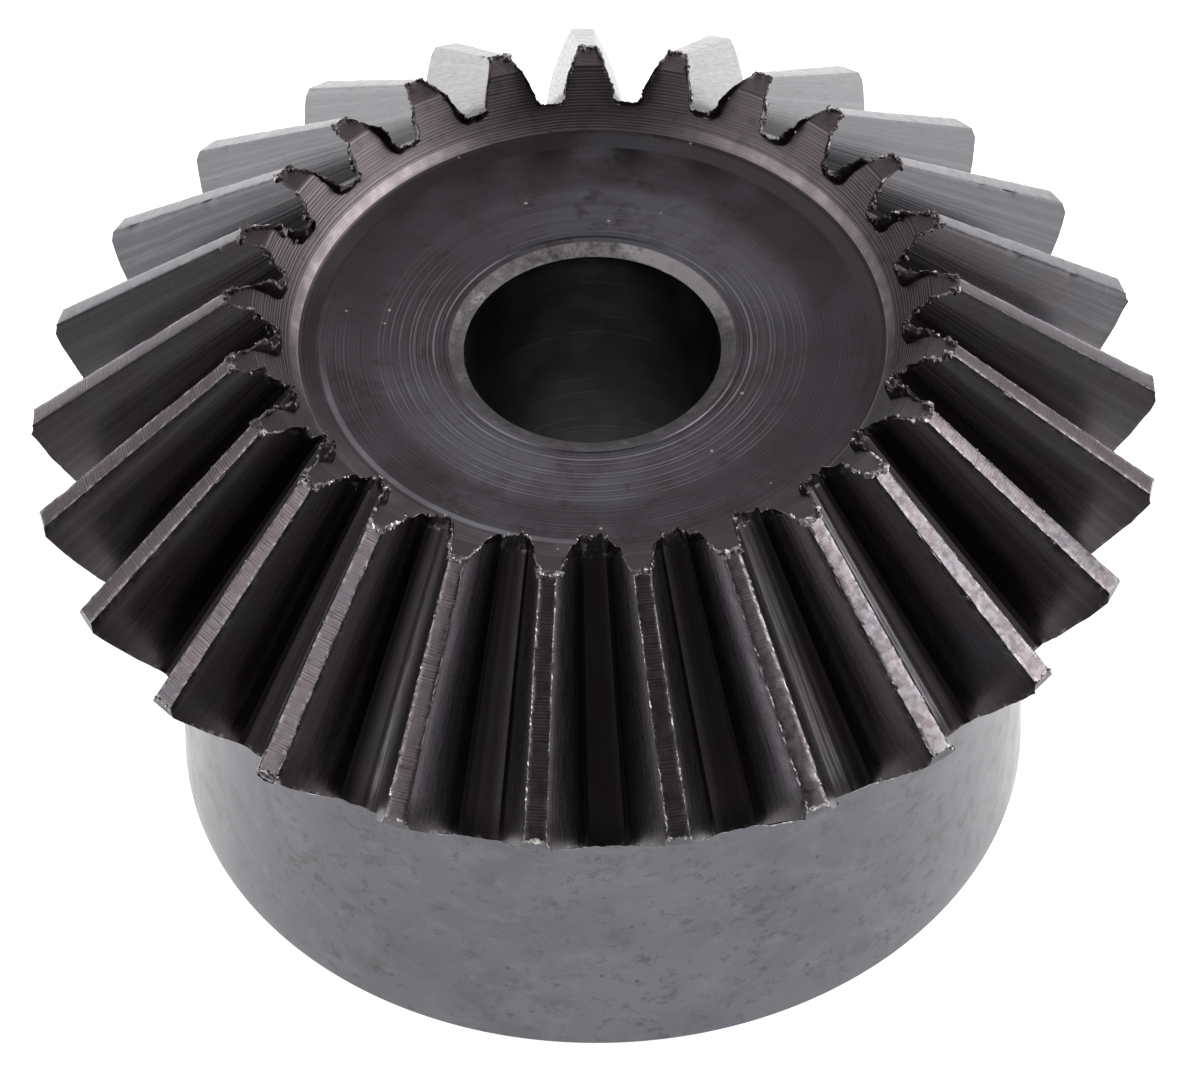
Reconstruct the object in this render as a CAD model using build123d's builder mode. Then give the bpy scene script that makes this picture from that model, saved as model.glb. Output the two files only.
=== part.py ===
"""Straight bevel gear of the mitre type: 45 degree pitch cone, straight teeth, plain bore, long hub.

It is one piece, turned from a steel bar and then cut, so it is one solid.
Frame: the origin is the centre of the hub's back face and +Z runs along the bore towards the teeth.
The pitch cone and every tooth flank run to one apex on the axis, at the mounting distance.
"""
from build123d import *
from math import acos, cos, pi, radians, sin, tan
import os

# ---- driving dimensions, in millimetres and degrees ----
MODULE = 2.0                 # at the heel, the large end of the teeth
TEETH = 25
PITCH_ANGLE = 45.0           # an equal pair turns a drive through 90 degrees
PRESSURE_ANGLE = 20.0
FACE_WIDTH = 13.0            # length of a tooth along the pitch cone
MOUNTING_DISTANCE = 45.0     # hub back to the apex
ADDENDUM = 1.0 * MODULE
DEDENDUM = 1.25 * MODULE
ROOT_FILLET = 0.17 * MODULE
TOOTH_THINNING = 0.2         # taken off a tooth's thickness at the heel, for backlash

BORE_DIAMETER = 12.0
BORE_LIP_WIDTH = 0.7         # shallow chamfer at the front of the bore
BORE_LIP_DEPTH = 0.3
BORE_BACK_CHAMFER = 0.5
HUB_DIAMETER = 40.0
HUB_EDGE_CHAMFER = 0.2
CROWN_DIAMETER = 52.8        # the sharp corner of the heel is turned down to this
CROWN_LAND = 0.5             # height of the narrow cylinder that this leaves
HEEL_RELIEF = 0.1            # the tooth tips meet the crown this far below the theoretical corner
NOSE_HEIGHT = 29.3           # hub back to the flat on the small ends of the teeth
NOSE_TIP_RADIUS = 17.2       # the tops of the teeth run out on that flat here
RECESS_RIM_RADIUS = 13.8     # the front cone ends here
RECESS_FLOOR_RADIUS = 12.9
RECESS_FLOOR_HEIGHT = 26.8   # hub back to the flat face round the bore

# ---- values that follow from them ----
pitch_cone = radians(PITCH_ANGLE)
pitch_radius = MODULE * TEETH / 2
cone_distance = pitch_radius / sin(pitch_cone)
virtual_radius = pitch_radius / cos(pitch_cone)      # of the spur gear that the back cone unrolls to
virtual_pitch = pi * MODULE / virtual_radius         # angle of one tooth and one space on it
base_radius = virtual_radius * cos(radians(PRESSURE_ANGLE))

apex = Vector(0, 0, MOUNTING_DISTANCE)
pitch_line = Vector(sin(pitch_cone), 0, -cos(pitch_cone))    # from the apex down the pitch cone
tooth_up = Vector(cos(pitch_cone), 0, sin(pitch_cone))       # from the pitch cone to a tooth's tip
heel_tip = apex + pitch_line * cone_distance + tooth_up * ADDENDUM
toe_pitch = apex + pitch_line * (cone_distance - FACE_WIDTH)

hub_radius = HUB_DIAMETER / 2
bore_radius = BORE_DIAMETER / 2
crown_radius = CROWN_DIAMETER / 2
crown_top = heel_tip.Z - HEEL_RELIEF
crown_bottom = crown_top - CROWN_LAND
hub_top = crown_bottom - (crown_radius - hub_radius) * tan(pitch_cone)
nose_inner_radius = toe_pitch.X + (NOSE_HEIGHT - toe_pitch.Z) / tan(pitch_cone)
recess_rim_height = toe_pitch.Z - (toe_pitch.X - RECESS_RIM_RADIUS) * tan(pitch_cone)

# the cutter's path runs past both ends of the teeth, given as fractions of the cone distance
HEEL_OVERRUN = 1.15
TOE_OVERRUN = 0.50
TIP_OVERRUN = 1.8 * ADDENDUM
FLANK_POINTS = 7


def involute(pressure):
    """Involute function of a pressure angle in radians."""
    return tan(pressure) - pressure


def half_space(radius):
    """Half the angle of a tooth space on the virtual gear, at one of its radii."""
    pressure = acos(min(1.0, base_radius / radius))
    half_tooth = virtual_pitch / 4 - TOOTH_THINNING / (2 * virtual_radius)
    half_tooth += involute(radians(PRESSURE_ANGLE)) - involute(pressure)
    return virtual_pitch / 2 - half_tooth


def flank(scale, side):
    """Points up one side of a tooth space, from the base circle to past the tips."""
    outside_radius = virtual_radius + TIP_OVERRUN
    points = []
    for i in range(FLANK_POINTS):
        radius = base_radius + (outside_radius - base_radius) * i / (FLANK_POINTS - 1)
        angle = side * half_space(radius)
        x = radius * sin(angle)
        y = radius * cos(angle) - virtual_radius
        points.append((x * scale, y * scale))
    return points


# ---- one tooth space: the same section at two distances from the apex, joined by straight lines ----
with BuildPart() as tooth_space:
    for scale in (HEEL_OVERRUN, TOE_OVERRUN):
        right = flank(scale, 1)
        left = flank(scale, -1)
        root = -DEDENDUM * scale
        section_plane = Plane(
            apex + pitch_line * cone_distance * scale,
            x_dir=(0, 1, 0),
            z_dir=pitch_line,
        )
        with BuildSketch(section_plane) as section:
            with BuildLine():
                Spline(*right)
                Line(right[-1], left[-1])
                Spline(*reversed(left))
                Polyline(left[0], (left[0][0], root), (right[0][0], root), right[0])
            make_face()
            fillet(section.vertices().group_by(Axis.Y)[0], ROOT_FILLET * scale)
    loft(ruled=True)

# ---- the gear ----
with BuildPart() as bevel_gear:
    # half section of the turned blank, from the back of the bore round the outside to its front
    with BuildSketch(Plane.XZ):
        with BuildLine():
            Polyline(
                (bore_radius, BORE_BACK_CHAMFER),
                (bore_radius + BORE_BACK_CHAMFER, 0),
                (hub_radius - HUB_EDGE_CHAMFER, 0),
                (hub_radius, HUB_EDGE_CHAMFER),
                (hub_radius, hub_top),
                (crown_radius, crown_bottom),
                (crown_radius, crown_top),
                (NOSE_TIP_RADIUS, NOSE_HEIGHT),
                (nose_inner_radius, NOSE_HEIGHT),
                (RECESS_RIM_RADIUS, recess_rim_height),
                (RECESS_FLOOR_RADIUS, RECESS_FLOOR_HEIGHT),
                (bore_radius + BORE_LIP_WIDTH, RECESS_FLOOR_HEIGHT),
                (bore_radius, RECESS_FLOOR_HEIGHT - BORE_LIP_DEPTH),
                close=True,
            )
        make_face()
    revolve(axis=Axis.Z)
    # one tooth stands on +Y
    with PolarLocations(0, TEETH, start_angle=90 + 180 / TEETH):
        add(tooth_space.part, mode=Mode.SUBTRACT)

bevel_gear.part.label = "bevel_gear"

os.makedirs("parts", exist_ok=True)
export_step(bevel_gear.part, "parts/bevel_gear.step")
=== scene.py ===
"""Straight bevel gear in blackened steel: one machined body with its cutting burrs, in a plain studio."""
import math
from dataclasses import dataclass, replace
from functools import partialmethod

import bpy
import numpy as np
from mathutils import Matrix, Vector


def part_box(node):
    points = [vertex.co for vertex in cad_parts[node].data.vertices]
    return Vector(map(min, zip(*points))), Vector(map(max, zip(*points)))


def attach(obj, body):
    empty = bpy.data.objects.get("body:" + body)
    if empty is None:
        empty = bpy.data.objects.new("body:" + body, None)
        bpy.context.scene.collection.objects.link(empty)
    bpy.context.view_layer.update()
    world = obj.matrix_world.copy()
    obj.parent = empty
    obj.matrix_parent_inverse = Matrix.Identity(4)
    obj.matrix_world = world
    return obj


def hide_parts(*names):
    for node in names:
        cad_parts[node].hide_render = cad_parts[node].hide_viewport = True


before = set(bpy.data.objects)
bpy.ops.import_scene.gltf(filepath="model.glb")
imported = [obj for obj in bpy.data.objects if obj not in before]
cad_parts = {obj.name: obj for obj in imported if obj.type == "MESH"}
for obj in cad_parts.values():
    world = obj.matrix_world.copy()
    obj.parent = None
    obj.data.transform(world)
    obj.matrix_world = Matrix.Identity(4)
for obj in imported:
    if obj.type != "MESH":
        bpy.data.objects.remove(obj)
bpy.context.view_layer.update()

# ---- The gear's dimensions, in millimetres: the CAD model's, apart from two that are noted ----
MM = 0.001
_, cad_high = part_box("bevel_gear")
GEAR_HEIGHT = cad_high.z / MM  # hub back to the flat on the small ends of the teeth
CROWN_RADIUS = cad_high.y / MM  # a tooth stands on +Y

MODULE = 2.0
TEETH = 25
MOUNTING_DISTANCE = 45.0  # hub back to the apex of all the cones
FACE_WIDTH = 13.0
PRESSURE_ANGLE = math.radians(20.0)
ADDENDUM = MODULE
DEDENDUM = 1.25 * MODULE
ROOT_FILLET = 0.55  # as in the photo; the CAD model has 0.34
TOOTH_THINNING = 0.24  # the CAD model has 0.2
HUB_RADIUS = 20.0
BORE_RADIUS = 6.0
CROWN_LAND = 0.5
HEEL_RELIEF = 0.1
NOSE_TIP_RADIUS = 17.2
RIM_RADIUS = 13.8
RECESS_FLOOR_HEIGHT = 26.8

ROOT2 = math.sqrt(2.0)  # from the 45 degree pitch cone
pitch_radius = MODULE * TEETH / 2
cone_distance = pitch_radius * ROOT2
virtual_radius = pitch_radius * ROOT2
virtual_pitch = math.pi * MODULE / virtual_radius
base_radius = virtual_radius * math.cos(PRESSURE_ANGLE)
root_radius = virtual_radius - DEDENDUM
flank_foot = root_radius + ROOT_FILLET
toe_scale = 1 - FACE_WIDTH / cone_distance
half_pitch = math.pi / TEETH
crown_top = MOUNTING_DISTANCE - pitch_radius + ADDENDUM / ROOT2 - HEEL_RELIEF
crown_bottom = crown_top - CROWN_LAND
heel_scale = (CROWN_RADIUS - crown_bottom + MOUNTING_DISTANCE) / (2 * pitch_radius)
front_offset = 2 * pitch_radius * toe_scale - MOUNTING_DISTANCE  # R - Z on the front cone
back_offset = CROWN_RADIUS - crown_bottom  # R - Z on the back cone
nose_inner_radius = GEAR_HEIGHT + front_offset
rim_height = RIM_RADIUS - front_offset

# the teeth lean a little round the axis from heel to toe, and their flanks fall away towards the tip
TOOTH_SKEW = math.radians(0.77)
TIP_FALL = 0.13

# the cone through the tooth tips, as R = TIP_A * scale + TIP_B
tip_slope = (GEAR_HEIGHT - crown_top) / (CROWN_RADIUS - NOSE_TIP_RADIUS)
TIP_A = 2 * pitch_radius / (1 + tip_slope)
TIP_B = (crown_top + tip_slope * CROWN_RADIUS - MOUNTING_DISTANCE) / (1 + tip_slope)

rng = np.random.default_rng(25)
scene = bpy.context.scene


def smooth_noise(count, spacing, seed):
    """A smooth random curve between -1 and 1, with a knot every `spacing` samples."""
    source = np.random.default_rng(seed)
    knots = source.uniform(-1, 1, int(count / spacing) + 4)
    at = np.arange(count) / spacing
    low = at.astype(int)
    share = at - low
    share = share * share * (3 - 2 * share)
    return knots[low] * (1 - share) + knots[low + 1] * share


# ---- The gear's mesh ----
FLOOR_SEGMENTS = 2
FILLET_SEGMENTS = 3
LAND_STEPS = (-0.9, -0.5, 0.0, 0.5, 0.9)
LATHE_SHARE = 3  # round the hub and bore, one column stands for three


def involute(pressure):
    return np.tan(pressure) - pressure


def half_space(radius):
    """Half the angle of a tooth space at a radius of the virtual gear."""
    pressure = np.arccos(np.minimum(1.0, base_radius / radius))
    half_tooth = virtual_pitch / 4 - TOOTH_THINNING / (2 * virtual_radius)
    half_tooth = half_tooth + involute(PRESSURE_ANGLE) - involute(pressure)
    return virtual_pitch / 2 - half_tooth


# how far up the flank it meets the crease between the front cone and the nose flat
toe_foot = flank_foot / ROOT2 * toe_scale
CREASE_RISE = (nose_inner_radius - toe_foot) / (TIP_A * toe_scale + TIP_B - toe_foot)
FLANK_STEPS = (0.13, 0.28, 0.45, CREASE_RISE, 0.78, 0.91, 0.98)
CREASE_STEPS = 4  # steps from a flank's foot up to that crease


@dataclass
class Column:
    """One line of the tooth surface from the heel to the toe: R = a * scale + b, Z and angle follow."""
    kind: str  # "space", "flank" or "land"
    a: float
    b: float
    side: float  # -1 or 1 for the two halves of a tooth, or in between across the land
    rise: float = 0.0  # how far up the flank
    virtual_angle: float = 0.0  # place in the space, as an angle of the virtual gear

    def ends(self):
        """Scales of the heel end and the toe end."""
        heel = min(heel_scale, (CROWN_RADIUS - self.b) / self.a)
        nose = (MOUNTING_DISTANCE - GEAR_HEIGHT + self.b) / (2 * pitch_radius - self.a)
        return heel, max(toe_scale, nose)

    def points(self, scales):
        """Radius, height and angle from the tooth's middle, in millimetres and radians."""
        radius = self.a * scales + self.b
        height = MOUNTING_DISTANCE - 2 * pitch_radius * scales + radius
        if self.kind == "space":
            angle = half_pitch - ROOT2 * self.virtual_angle + 0 * scales
            return radius, height, self.side * angle
        fall = TIP_FALL * self.rise ** 1.4
        angle = half_pitch - ROOT2 * half_space(ROOT2 * radius / scales) - fall / radius
        return radius, height, self.side * angle


def tooth_columns():
    """The columns of one tooth, from the middle of a space to just before the next middle."""
    floor_half = half_space(flank_foot) - ROOT_FILLET / root_radius
    # from the middle of a space to the foot of the flank
    outward = [(root_radius, floor_half * i / FLOOR_SEGMENTS) for i in range(FLOOR_SEGMENTS)]
    for i in range(FILLET_SEGMENTS):
        turn = math.pi / 2 * i / FILLET_SEGMENTS
        radius = root_radius + ROOT_FILLET * (1 - math.cos(turn))
        outward.append((radius, floor_half + ROOT_FILLET / root_radius * math.sin(turn)))
    columns = [Column("space", radius / ROOT2, 0.0, -1, virtual_angle=angle) for radius, angle in outward]
    for rise in (0.0,) + FLANK_STEPS + (1.0,):
        a = (1 - rise) * flank_foot / ROOT2 + rise * TIP_A
        columns.append(Column("flank", a, rise * TIP_B, -1, rise=rise))
    land = [Column("land", TIP_A, TIP_B, side, rise=1.0) for side in LAND_STEPS]
    return columns + land + [replace(column, side=1) for column in reversed(columns[1:])]


pattern = tooth_columns()
PER_TOOTH = len(pattern)
COLUMNS = PER_TOOTH * TEETH
FIRST_FLANK = next(i for i, c in enumerate(pattern) if c.kind == "flank")
LAND_EDGES = [i for i, c in enumerate(pattern) if c.kind == "flank" and c.rise == 1.0]
CREASES = [i for i, c in enumerate(pattern) if c.kind == "flank" and c.rise == CREASE_RISE]

HEEL_ROWS = 9
TOOTH_ROWS = 66
NOSE_ROWS = 11
CREASE_ROW = 3  # rows from the toe over the nose flat to the crease
TOE_ROW = HEEL_ROWS + TOOTH_ROWS - 1
ALONG_TOOTH = slice(HEEL_ROWS, TOE_ROW + 1)
BACK_CONE_RING = HUB_RADIUS + 0.9  # where the back cone's fine columns end, just outside the hub


def gear_grid():
    """Radius, height and angle of the grid: columns round the axis, rows from the hub to the rim."""
    shape = (HEEL_ROWS + TOOTH_ROWS + NOSE_ROWS, COLUMNS)
    radius, height, angle = (np.zeros(shape) for _ in range(3))
    along = np.linspace(0, 1, TOOTH_ROWS)
    along = along - 0.012 * np.sin(2 * math.pi * along)
    nose_cone_turn = np.arange(1, NOSE_ROWS - CREASE_ROW + 1) / (NOSE_ROWS - CREASE_ROW)
    for c in range(COLUMNS):
        tooth, i = divmod(c, PER_TOOTH)
        heel, toe = pattern[i].ends()
        scales = heel + (toe - heel) * along
        r, z, t = pattern[i].points(scales)
        t = t + TOOTH_SKEW * ((heel_scale - scales) / (heel_scale - toe_scale) - 0.5) + tooth * 2 * half_pitch
        # heel: up the back cone from a ring just outside the hub, then over the crown's land
        land_rows = 2 if z[0] > crown_bottom else 0
        cone_turn = 1 - np.arange(HEEL_ROWS - land_rows) / (HEEL_ROWS - land_rows)
        cone_edge = min(z[0], crown_bottom) + back_offset
        cone_r = cone_edge + (BACK_CONE_RING - cone_edge) * cone_turn
        down = np.arange(land_rows, 0, -1) / 2
        heel_r = np.concatenate([cone_r, np.full(land_rows, CROWN_RADIUS)])
        heel_z = np.concatenate([cone_r - back_offset, z[0] + (crown_bottom - z[0]) * down])
        # toe: over the flat on the tooth's end, then down the front cone to the rim
        crease = nose_inner_radius
        if r[-1] < nose_inner_radius + 0.001:
            crease = r[-1] - 0.35 * (r[-1] - RIM_RADIUS)
        flat_r = r[-1] + (crease - r[-1]) * np.arange(1, CREASE_ROW + 1) / CREASE_ROW
        toe_r = np.concatenate([flat_r, crease + (RIM_RADIUS - crease) * nose_cone_turn])
        toe_z = np.minimum(GEAR_HEIGHT, toe_r - front_offset)
        # away from the tooth, the columns turn from the tooth's own angles to an even spread
        turn = np.concatenate([cone_turn, np.zeros(land_rows + TOOTH_ROWS + CREASE_ROW), nose_cone_turn])
        own = np.concatenate([np.full(HEEL_ROWS, t[0]), t, np.full(NOSE_ROWS, t[-1])])
        even = (c + 0.5) / COLUMNS * 2 * math.pi - half_pitch
        radius[:, c] = np.concatenate([heel_r, r, toe_r])
        height[:, c] = np.concatenate([heel_z, z, toe_z])
        angle[:, c] = own * (1 - turn) + even * turn
    return radius, height, angle


BATTERED_TEETH = (9, 10, 11)  # at the front right, where the lands' edges are chipped
BATTERED_CHIPS = 7


def roughen(radius, height, angle):
    """Waves and nicks along the lands, and ragged toe and heel ends."""
    along = np.arange(TOOTH_ROWS)
    for tooth in range(TEETH):
        first = tooth * PER_TOOTH
        for n, i in enumerate(LAND_EDGES):
            side = 2 * n - 1
            wave = 0.018 + 0.008 * smooth_noise(TOOTH_ROWS, 1.0, 100 + tooth * 7 + n)
            wave += 0.010 * np.abs(smooth_noise(TOOTH_ROWS, 9.0, 400 + tooth * 7 + n))
            chips = BATTERED_CHIPS if tooth in BATTERED_TEETH else rng.integers(0, 3)
            for _ in range(chips):
                depth, centre, reach = rng.uniform(0.03, 0.10), rng.uniform(3, 60), rng.uniform(0.8, 2.2)
                wave += depth * np.exp(-((along - centre) / reach) ** 2)
            for step, share in ((0, 1.0), (-side, 0.3), (side, 0.35)):
                place = ALONG_TOOTH, first + i + step
                angle[place] -= side * wave * share / radius[place]
                radius[place] -= wave * 0.45 * share
                height[place] -= wave * 0.45 * share
        # the toe end of each column moves along the tooth, towards the cone's apex or back from it
        slide = 0.04 + 0.13 * smooth_noise(PER_TOOTH, 1.0, 700 + tooth)
        slide += 0.06 * smooth_noise(PER_TOOTH, 3.7, 800 + tooth)
        for i, column in enumerate(pattern):
            c = first + i
            amount = slide[i] * (0.35 if column.kind == "land" else 1.0)
            length = math.hypot(radius[TOE_ROW, c], MOUNTING_DISTANCE - height[TOE_ROW, c])
            for row, share in ((TOE_ROW, 1.0), (TOE_ROW - 1, 0.5)):
                radius[row, c] -= radius[TOE_ROW, c] / length * amount * share
                height[row, c] += (MOUNTING_DISTANCE - height[TOE_ROW, c]) / length * amount * share
            if column.kind != "land":
                ragged = 0.05 * abs(slide[(i * 7) % PER_TOOTH] / 0.16)
                radius[HEEL_ROWS, c] += ragged
                height[HEEL_ROWS, c] -= ragged * 0.5


def rounded_path(corners, segments=4):
    """A polyline through (R, Z, rounding) corners, each rounded by an arc of that radius."""
    path = []
    for i, (r, z, rounding) in enumerate(corners):
        here = np.array([r, z])
        if rounding == 0 or i in (0, len(corners) - 1):
            path.append(here)
            continue
        before = unit(np.array(corners[i - 1][:2]) - here)
        after = unit(np.array(corners[i + 1][:2]) - here)
        half = math.acos(np.clip(before @ after, -1, 1)) / 2
        reach = rounding / math.tan(half)
        centre = here + unit(before + after) * rounding / math.sin(half)
        start = here + before * reach - centre
        end = here + after * reach - centre
        turn = math.acos(np.clip(start @ end / rounding ** 2, -1, 1))
        for k in range(segments + 1):
            share = k / segments
            part = np.sin((1 - share) * turn) * start + np.sin(share * turn) * end
            path.append(centre + part / math.sin(turn))
    return path


def turned_profile():
    """The turned surfaces, from the rim over the face, bore and back to the hub."""
    floor = RECESS_FLOOR_HEIGHT
    last = BACK_CONE_RING - 0.3
    return rounded_path([
        (RIM_RADIUS - 0.07, rim_height - 0.04, 0.0), (RIM_RADIUS - 0.15, rim_height - 0.09, 0.03),
        (12.95, floor + 0.01, 0.25), (12.55, floor, 0.0), (9.0, floor, 0.0),
        (7.12, floor, 0.0), (7.05, floor - 0.05, 0.0), (6.95, floor - 0.05, 0.0), (6.9, floor, 0.0),
        (BORE_RADIUS + 0.70, floor, 0.05), (BORE_RADIUS, floor - 0.3, 0.08), (BORE_RADIUS, floor - 1.0, 0.0),
        (BORE_RADIUS, 13.0, 0.0), (BORE_RADIUS, 0.5, 0.05), (BORE_RADIUS + 0.5, 0.0, 0.05), (13.0, 0.0, 0.0),
        (HUB_RADIUS - 0.2, 0.0, 0.05), (HUB_RADIUS, 0.2, 0.05), (HUB_RADIUS, 1.0, 0.0),
        (HUB_RADIUS, 7.0, 0.0), (HUB_RADIUS, HUB_RADIUS - back_offset, 0.15), (last, last - back_offset, 0.0),
    ])


def profile_distance():
    """Distance in mm of each column across the tooth profile, at full size."""
    flat = []
    for column in pattern:
        radius, _, angle = column.points(np.ones(1))
        rho, turn = radius[0] * ROOT2, angle[0] / ROOT2
        flat.append((rho * math.sin(turn), rho * math.cos(turn)))
    steps = np.hypot(*np.diff(flat, axis=0).T)
    return np.concatenate([[0.0], np.cumsum(steps)])


def unit(vectors):
    return vectors / np.linalg.norm(vectors, axis=-1, keepdims=True)


def new_object(name, data):
    made = bpy.data.objects.new(name, data)
    scene.collection.objects.link(made)
    return made


def new_mesh(name, vertices, faces):
    """A mesh object; the vertices are in metres."""
    mesh = bpy.data.meshes.new(name)
    mesh.from_pydata(vertices, [], faces)
    return new_object(name, mesh)


def shade_smooth(mesh, crease):
    """Smooth shading, apart from edges that turn by more than `crease` degrees."""
    mesh.polygons.foreach_set("use_smooth", [True] * len(mesh.polygons))
    mesh.set_sharp_from_angle(angle=math.radians(crease))


REGIONS = ("flank", "land", "nose", "face", "bore", "hub")
EDGE_WEAR_WIDTH = 0.16


def region_of(row, column):
    """The finish of one face of the grid."""
    if row < HEEL_ROWS:
        return "hub"
    if row >= TOE_ROW:
        return "nose"
    kinds = (pattern[column % PER_TOOTH].kind, pattern[(column + 1) % PER_TOOTH].kind)
    return "land" if "land" in kinds else "flank"


def add_attributes(mesh, faces):
    """For the materials: mm across the profile, mm from the toe, nearness to an edge, depth, tool lot."""
    rows = len(grid)
    profile = profile_distance()
    column_of = np.tile(np.arange(COLUMNS) % PER_TOOTH, rows)
    row_of = np.repeat(np.arange(rows), COLUMNS)
    across = profile[column_of]
    toe_distance = FACE_WIDTH * (TOE_ROW - np.clip(row_of, HEEL_ROWS, TOE_ROW)) / (TOOTH_ROWS - 1)
    nearest = np.min([np.abs(across - profile[i]) for i in LAND_EDGES], axis=0)
    on_tooth = (row_of >= HEEL_ROWS) & (row_of <= TOE_ROW)
    at_ends = 0.8 * (row_of == TOE_ROW) + 0.6 * (row_of == HEEL_ROWS)
    edge = np.maximum(on_tooth * np.clip(1 - nearest / EDGE_WEAR_WIDTH, 0, 1), at_ends)
    depths = [1 - c.rise if c.kind == "flank" else float(c.kind == "space") for c in pattern]
    depth = np.array(depths)[column_of]
    off_grid = np.zeros(len(mesh.vertices) - rows * COLUMNS)
    for name, values in dict(across=across, toe_distance=toe_distance, edge=edge, depth=depth).items():
        values = np.concatenate([values, off_grid])
        mesh.attributes.new(name, "FLOAT", "POINT").data.foreach_set("value", values)
    # every flank was cut in its own pass, so it has its own lot of tool marks
    lots = np.random.default_rng(3).uniform(0, 100, TEETH * 2)
    corner = np.array([face[0] for face in faces])
    tooth, within = np.divmod(corner % COLUMNS, PER_TOOTH)
    lot = np.where(corner < rows * COLUMNS, lots[2 * tooth + (within > PER_TOOTH // 2)], 0)
    mesh.attributes.new("lot", "FLOAT", "FACE").data.foreach_set("value", lot)


def build_gear():
    """The whole gear as one closed mesh."""
    rows = len(grid)
    grid_size = rows * COLUMNS
    faces, regions = [], []

    def add(region, *corners):
        faces.append(corners)
        regions.append(REGIONS.index(region))

    for row in range(rows - 1):
        for c in range(COLUMNS):
            straddles = c % PER_TOOTH == CREASES[0] or (c + 1) % PER_TOOTH == CREASES[1]
            if straddles and TOE_ROW <= row < TOE_ROW + CREASE_ROW:
                continue
            here, beside = row * COLUMNS + c, row * COLUMNS + (c + 1) % COLUMNS
            add(region_of(row, c), here, beside, beside + COLUMNS, here + COLUMNS)
    # where the crease between the nose flat and the front cone meets a flank, the faces fan along it
    for tooth in range(TEETH):
        for crease, step in ((CREASES[0], 1), (CREASES[1], -1)):
            edge = [(TOE_ROW + k) * COLUMNS + tooth * PER_TOOTH + crease for k in range(CREASE_ROW + 1)]
            beside = [corner + step for corner in edge]
            fan = [(edge[0], beside[k], beside[k + 1]) for k in range(CREASE_ROW)]
            fan += [(edge[k], beside[-1], edge[k + 1]) for k in range(CREASE_ROW)]
            for corners in fan:
                add("nose", *corners[::step])

    path = turned_profile()
    lathe = COLUMNS // LATHE_SHARE
    around = (np.arange(lathe) * LATHE_SHARE + 0.5) / COLUMNS * 2 * math.pi - half_pitch
    rings = [np.stack([r * np.sin(around), r * np.cos(around), np.full(lathe, z)], -1) for r, z in path]
    for i in range(len(path) - 1):
        r, z = (path[i] + path[i + 1]) / 2
        outside = "face" if z > RECESS_FLOOR_HEIGHT - 0.5 else "hub"
        region = "bore" if r < BORE_RADIUS + 0.02 else outside
        a = grid_size + i * lathe
        for c in range(lathe):
            n = (c + 1) % lathe
            add(region, a + c, a + n, a + lathe + n, a + lathe + c)
    # join the fine columns of the teeth to the coarse ones of the turned surfaces
    last_row, last_ring = grid_size - COLUMNS, grid_size + (len(path) - 1) * lathe
    for fine, coarse, region, order in ((last_row, grid_size, "nose", 1), (0, last_ring, "hub", -1)):
        for c in range(lathe):
            here, ahead = coarse + c, coarse + (c + 1) % lathe
            o = [fine + (c * LATHE_SHARE + k) % COLUMNS for k in range(LATHE_SHARE + 1)]
            for corners in ((o[0], o[1], here), (o[1], o[2], here), (o[2], ahead, here), (o[2], o[3], ahead)):
                add(region, *corners[::order])

    vertices = np.concatenate([grid.reshape(-1, 3)] + rings) * MM
    piece = new_mesh("gear_body", vertices.tolist(), faces)
    piece.data.polygons.foreach_set("material_index", regions)
    shade_smooth(piece.data, 24)
    add_attributes(piece.data, faces)
    piece.data.update()
    return piece


grid_radius, grid_height, grid_angle = gear_grid()
roughen(grid_radius, grid_height, grid_angle)
# a tooth's angle grows clockwise from +Y as seen from above
grid = np.stack([grid_radius * np.sin(grid_angle), grid_radius * np.cos(grid_angle), grid_height], -1)
gear = build_gear()


# ---- Burrs: thin closed slivers left by turning and planing ----
GOLDEN = (1 + math.sqrt(5)) / 2
GRAIN_CORNERS = np.array([  # an icosahedron's
    np.roll((a, b, 0), turn) for turn in range(3) for b in (GOLDEN, -GOLDEN) for a in (-1, 1)
])
GRAIN_FACES = (
    (0, 11, 5), (0, 5, 1), (0, 1, 7), (0, 7, 10), (0, 10, 11), (1, 5, 9), (5, 11, 4), (11, 10, 2), (10, 7, 6),
    (7, 1, 8), (3, 9, 4), (3, 4, 2), (3, 2, 6), (3, 6, 8), (3, 8, 9), (4, 9, 5), (2, 4, 11), (6, 2, 10),
    (8, 6, 7), (9, 8, 1),
)


def finer(values, times):
    """Samples between the given points of a path, `times` to each step."""
    at = np.linspace(0, len(values) - 1, (len(values) - 1) * times + 1)
    low = np.minimum(at.astype(int), len(values) - 2)
    share = (at - low)[:, None]
    return values[low] * (1 - share) + values[low + 1] * share


def runs(strength, least):
    """Start and end of each stretch of at least that many samples where the strength is above zero."""
    on = np.concatenate([[False], strength > 0, [False]])
    turns = np.flatnonzero(on[1:] != on[:-1])
    return [(a, b) for a, b in zip(turns[::2], turns[1::2]) if b - a >= least]


def from_ends(count):
    """Samples from the nearer end of a stretch."""
    return np.minimum(np.arange(count), np.arange(count)[::-1])


def taper(count, length, least):
    """Grows from `least` at both ends of a stretch to 1 within about `length` samples."""
    return np.minimum(1, from_ends(count) / length + least)


def shaken(path, towards, amount, spacing, seed):
    """The path moved to and fro along `towards`, by up to `amount` millimetres."""
    return path + towards * amount * smooth_noise(len(path), spacing, seed)[:, None]


def frontness(tooth):
    """0 for the tooth at the back, nearly 1 for the two at the front."""
    return min(tooth, TEETH - tooth) / (TEETH / 2)


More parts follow.
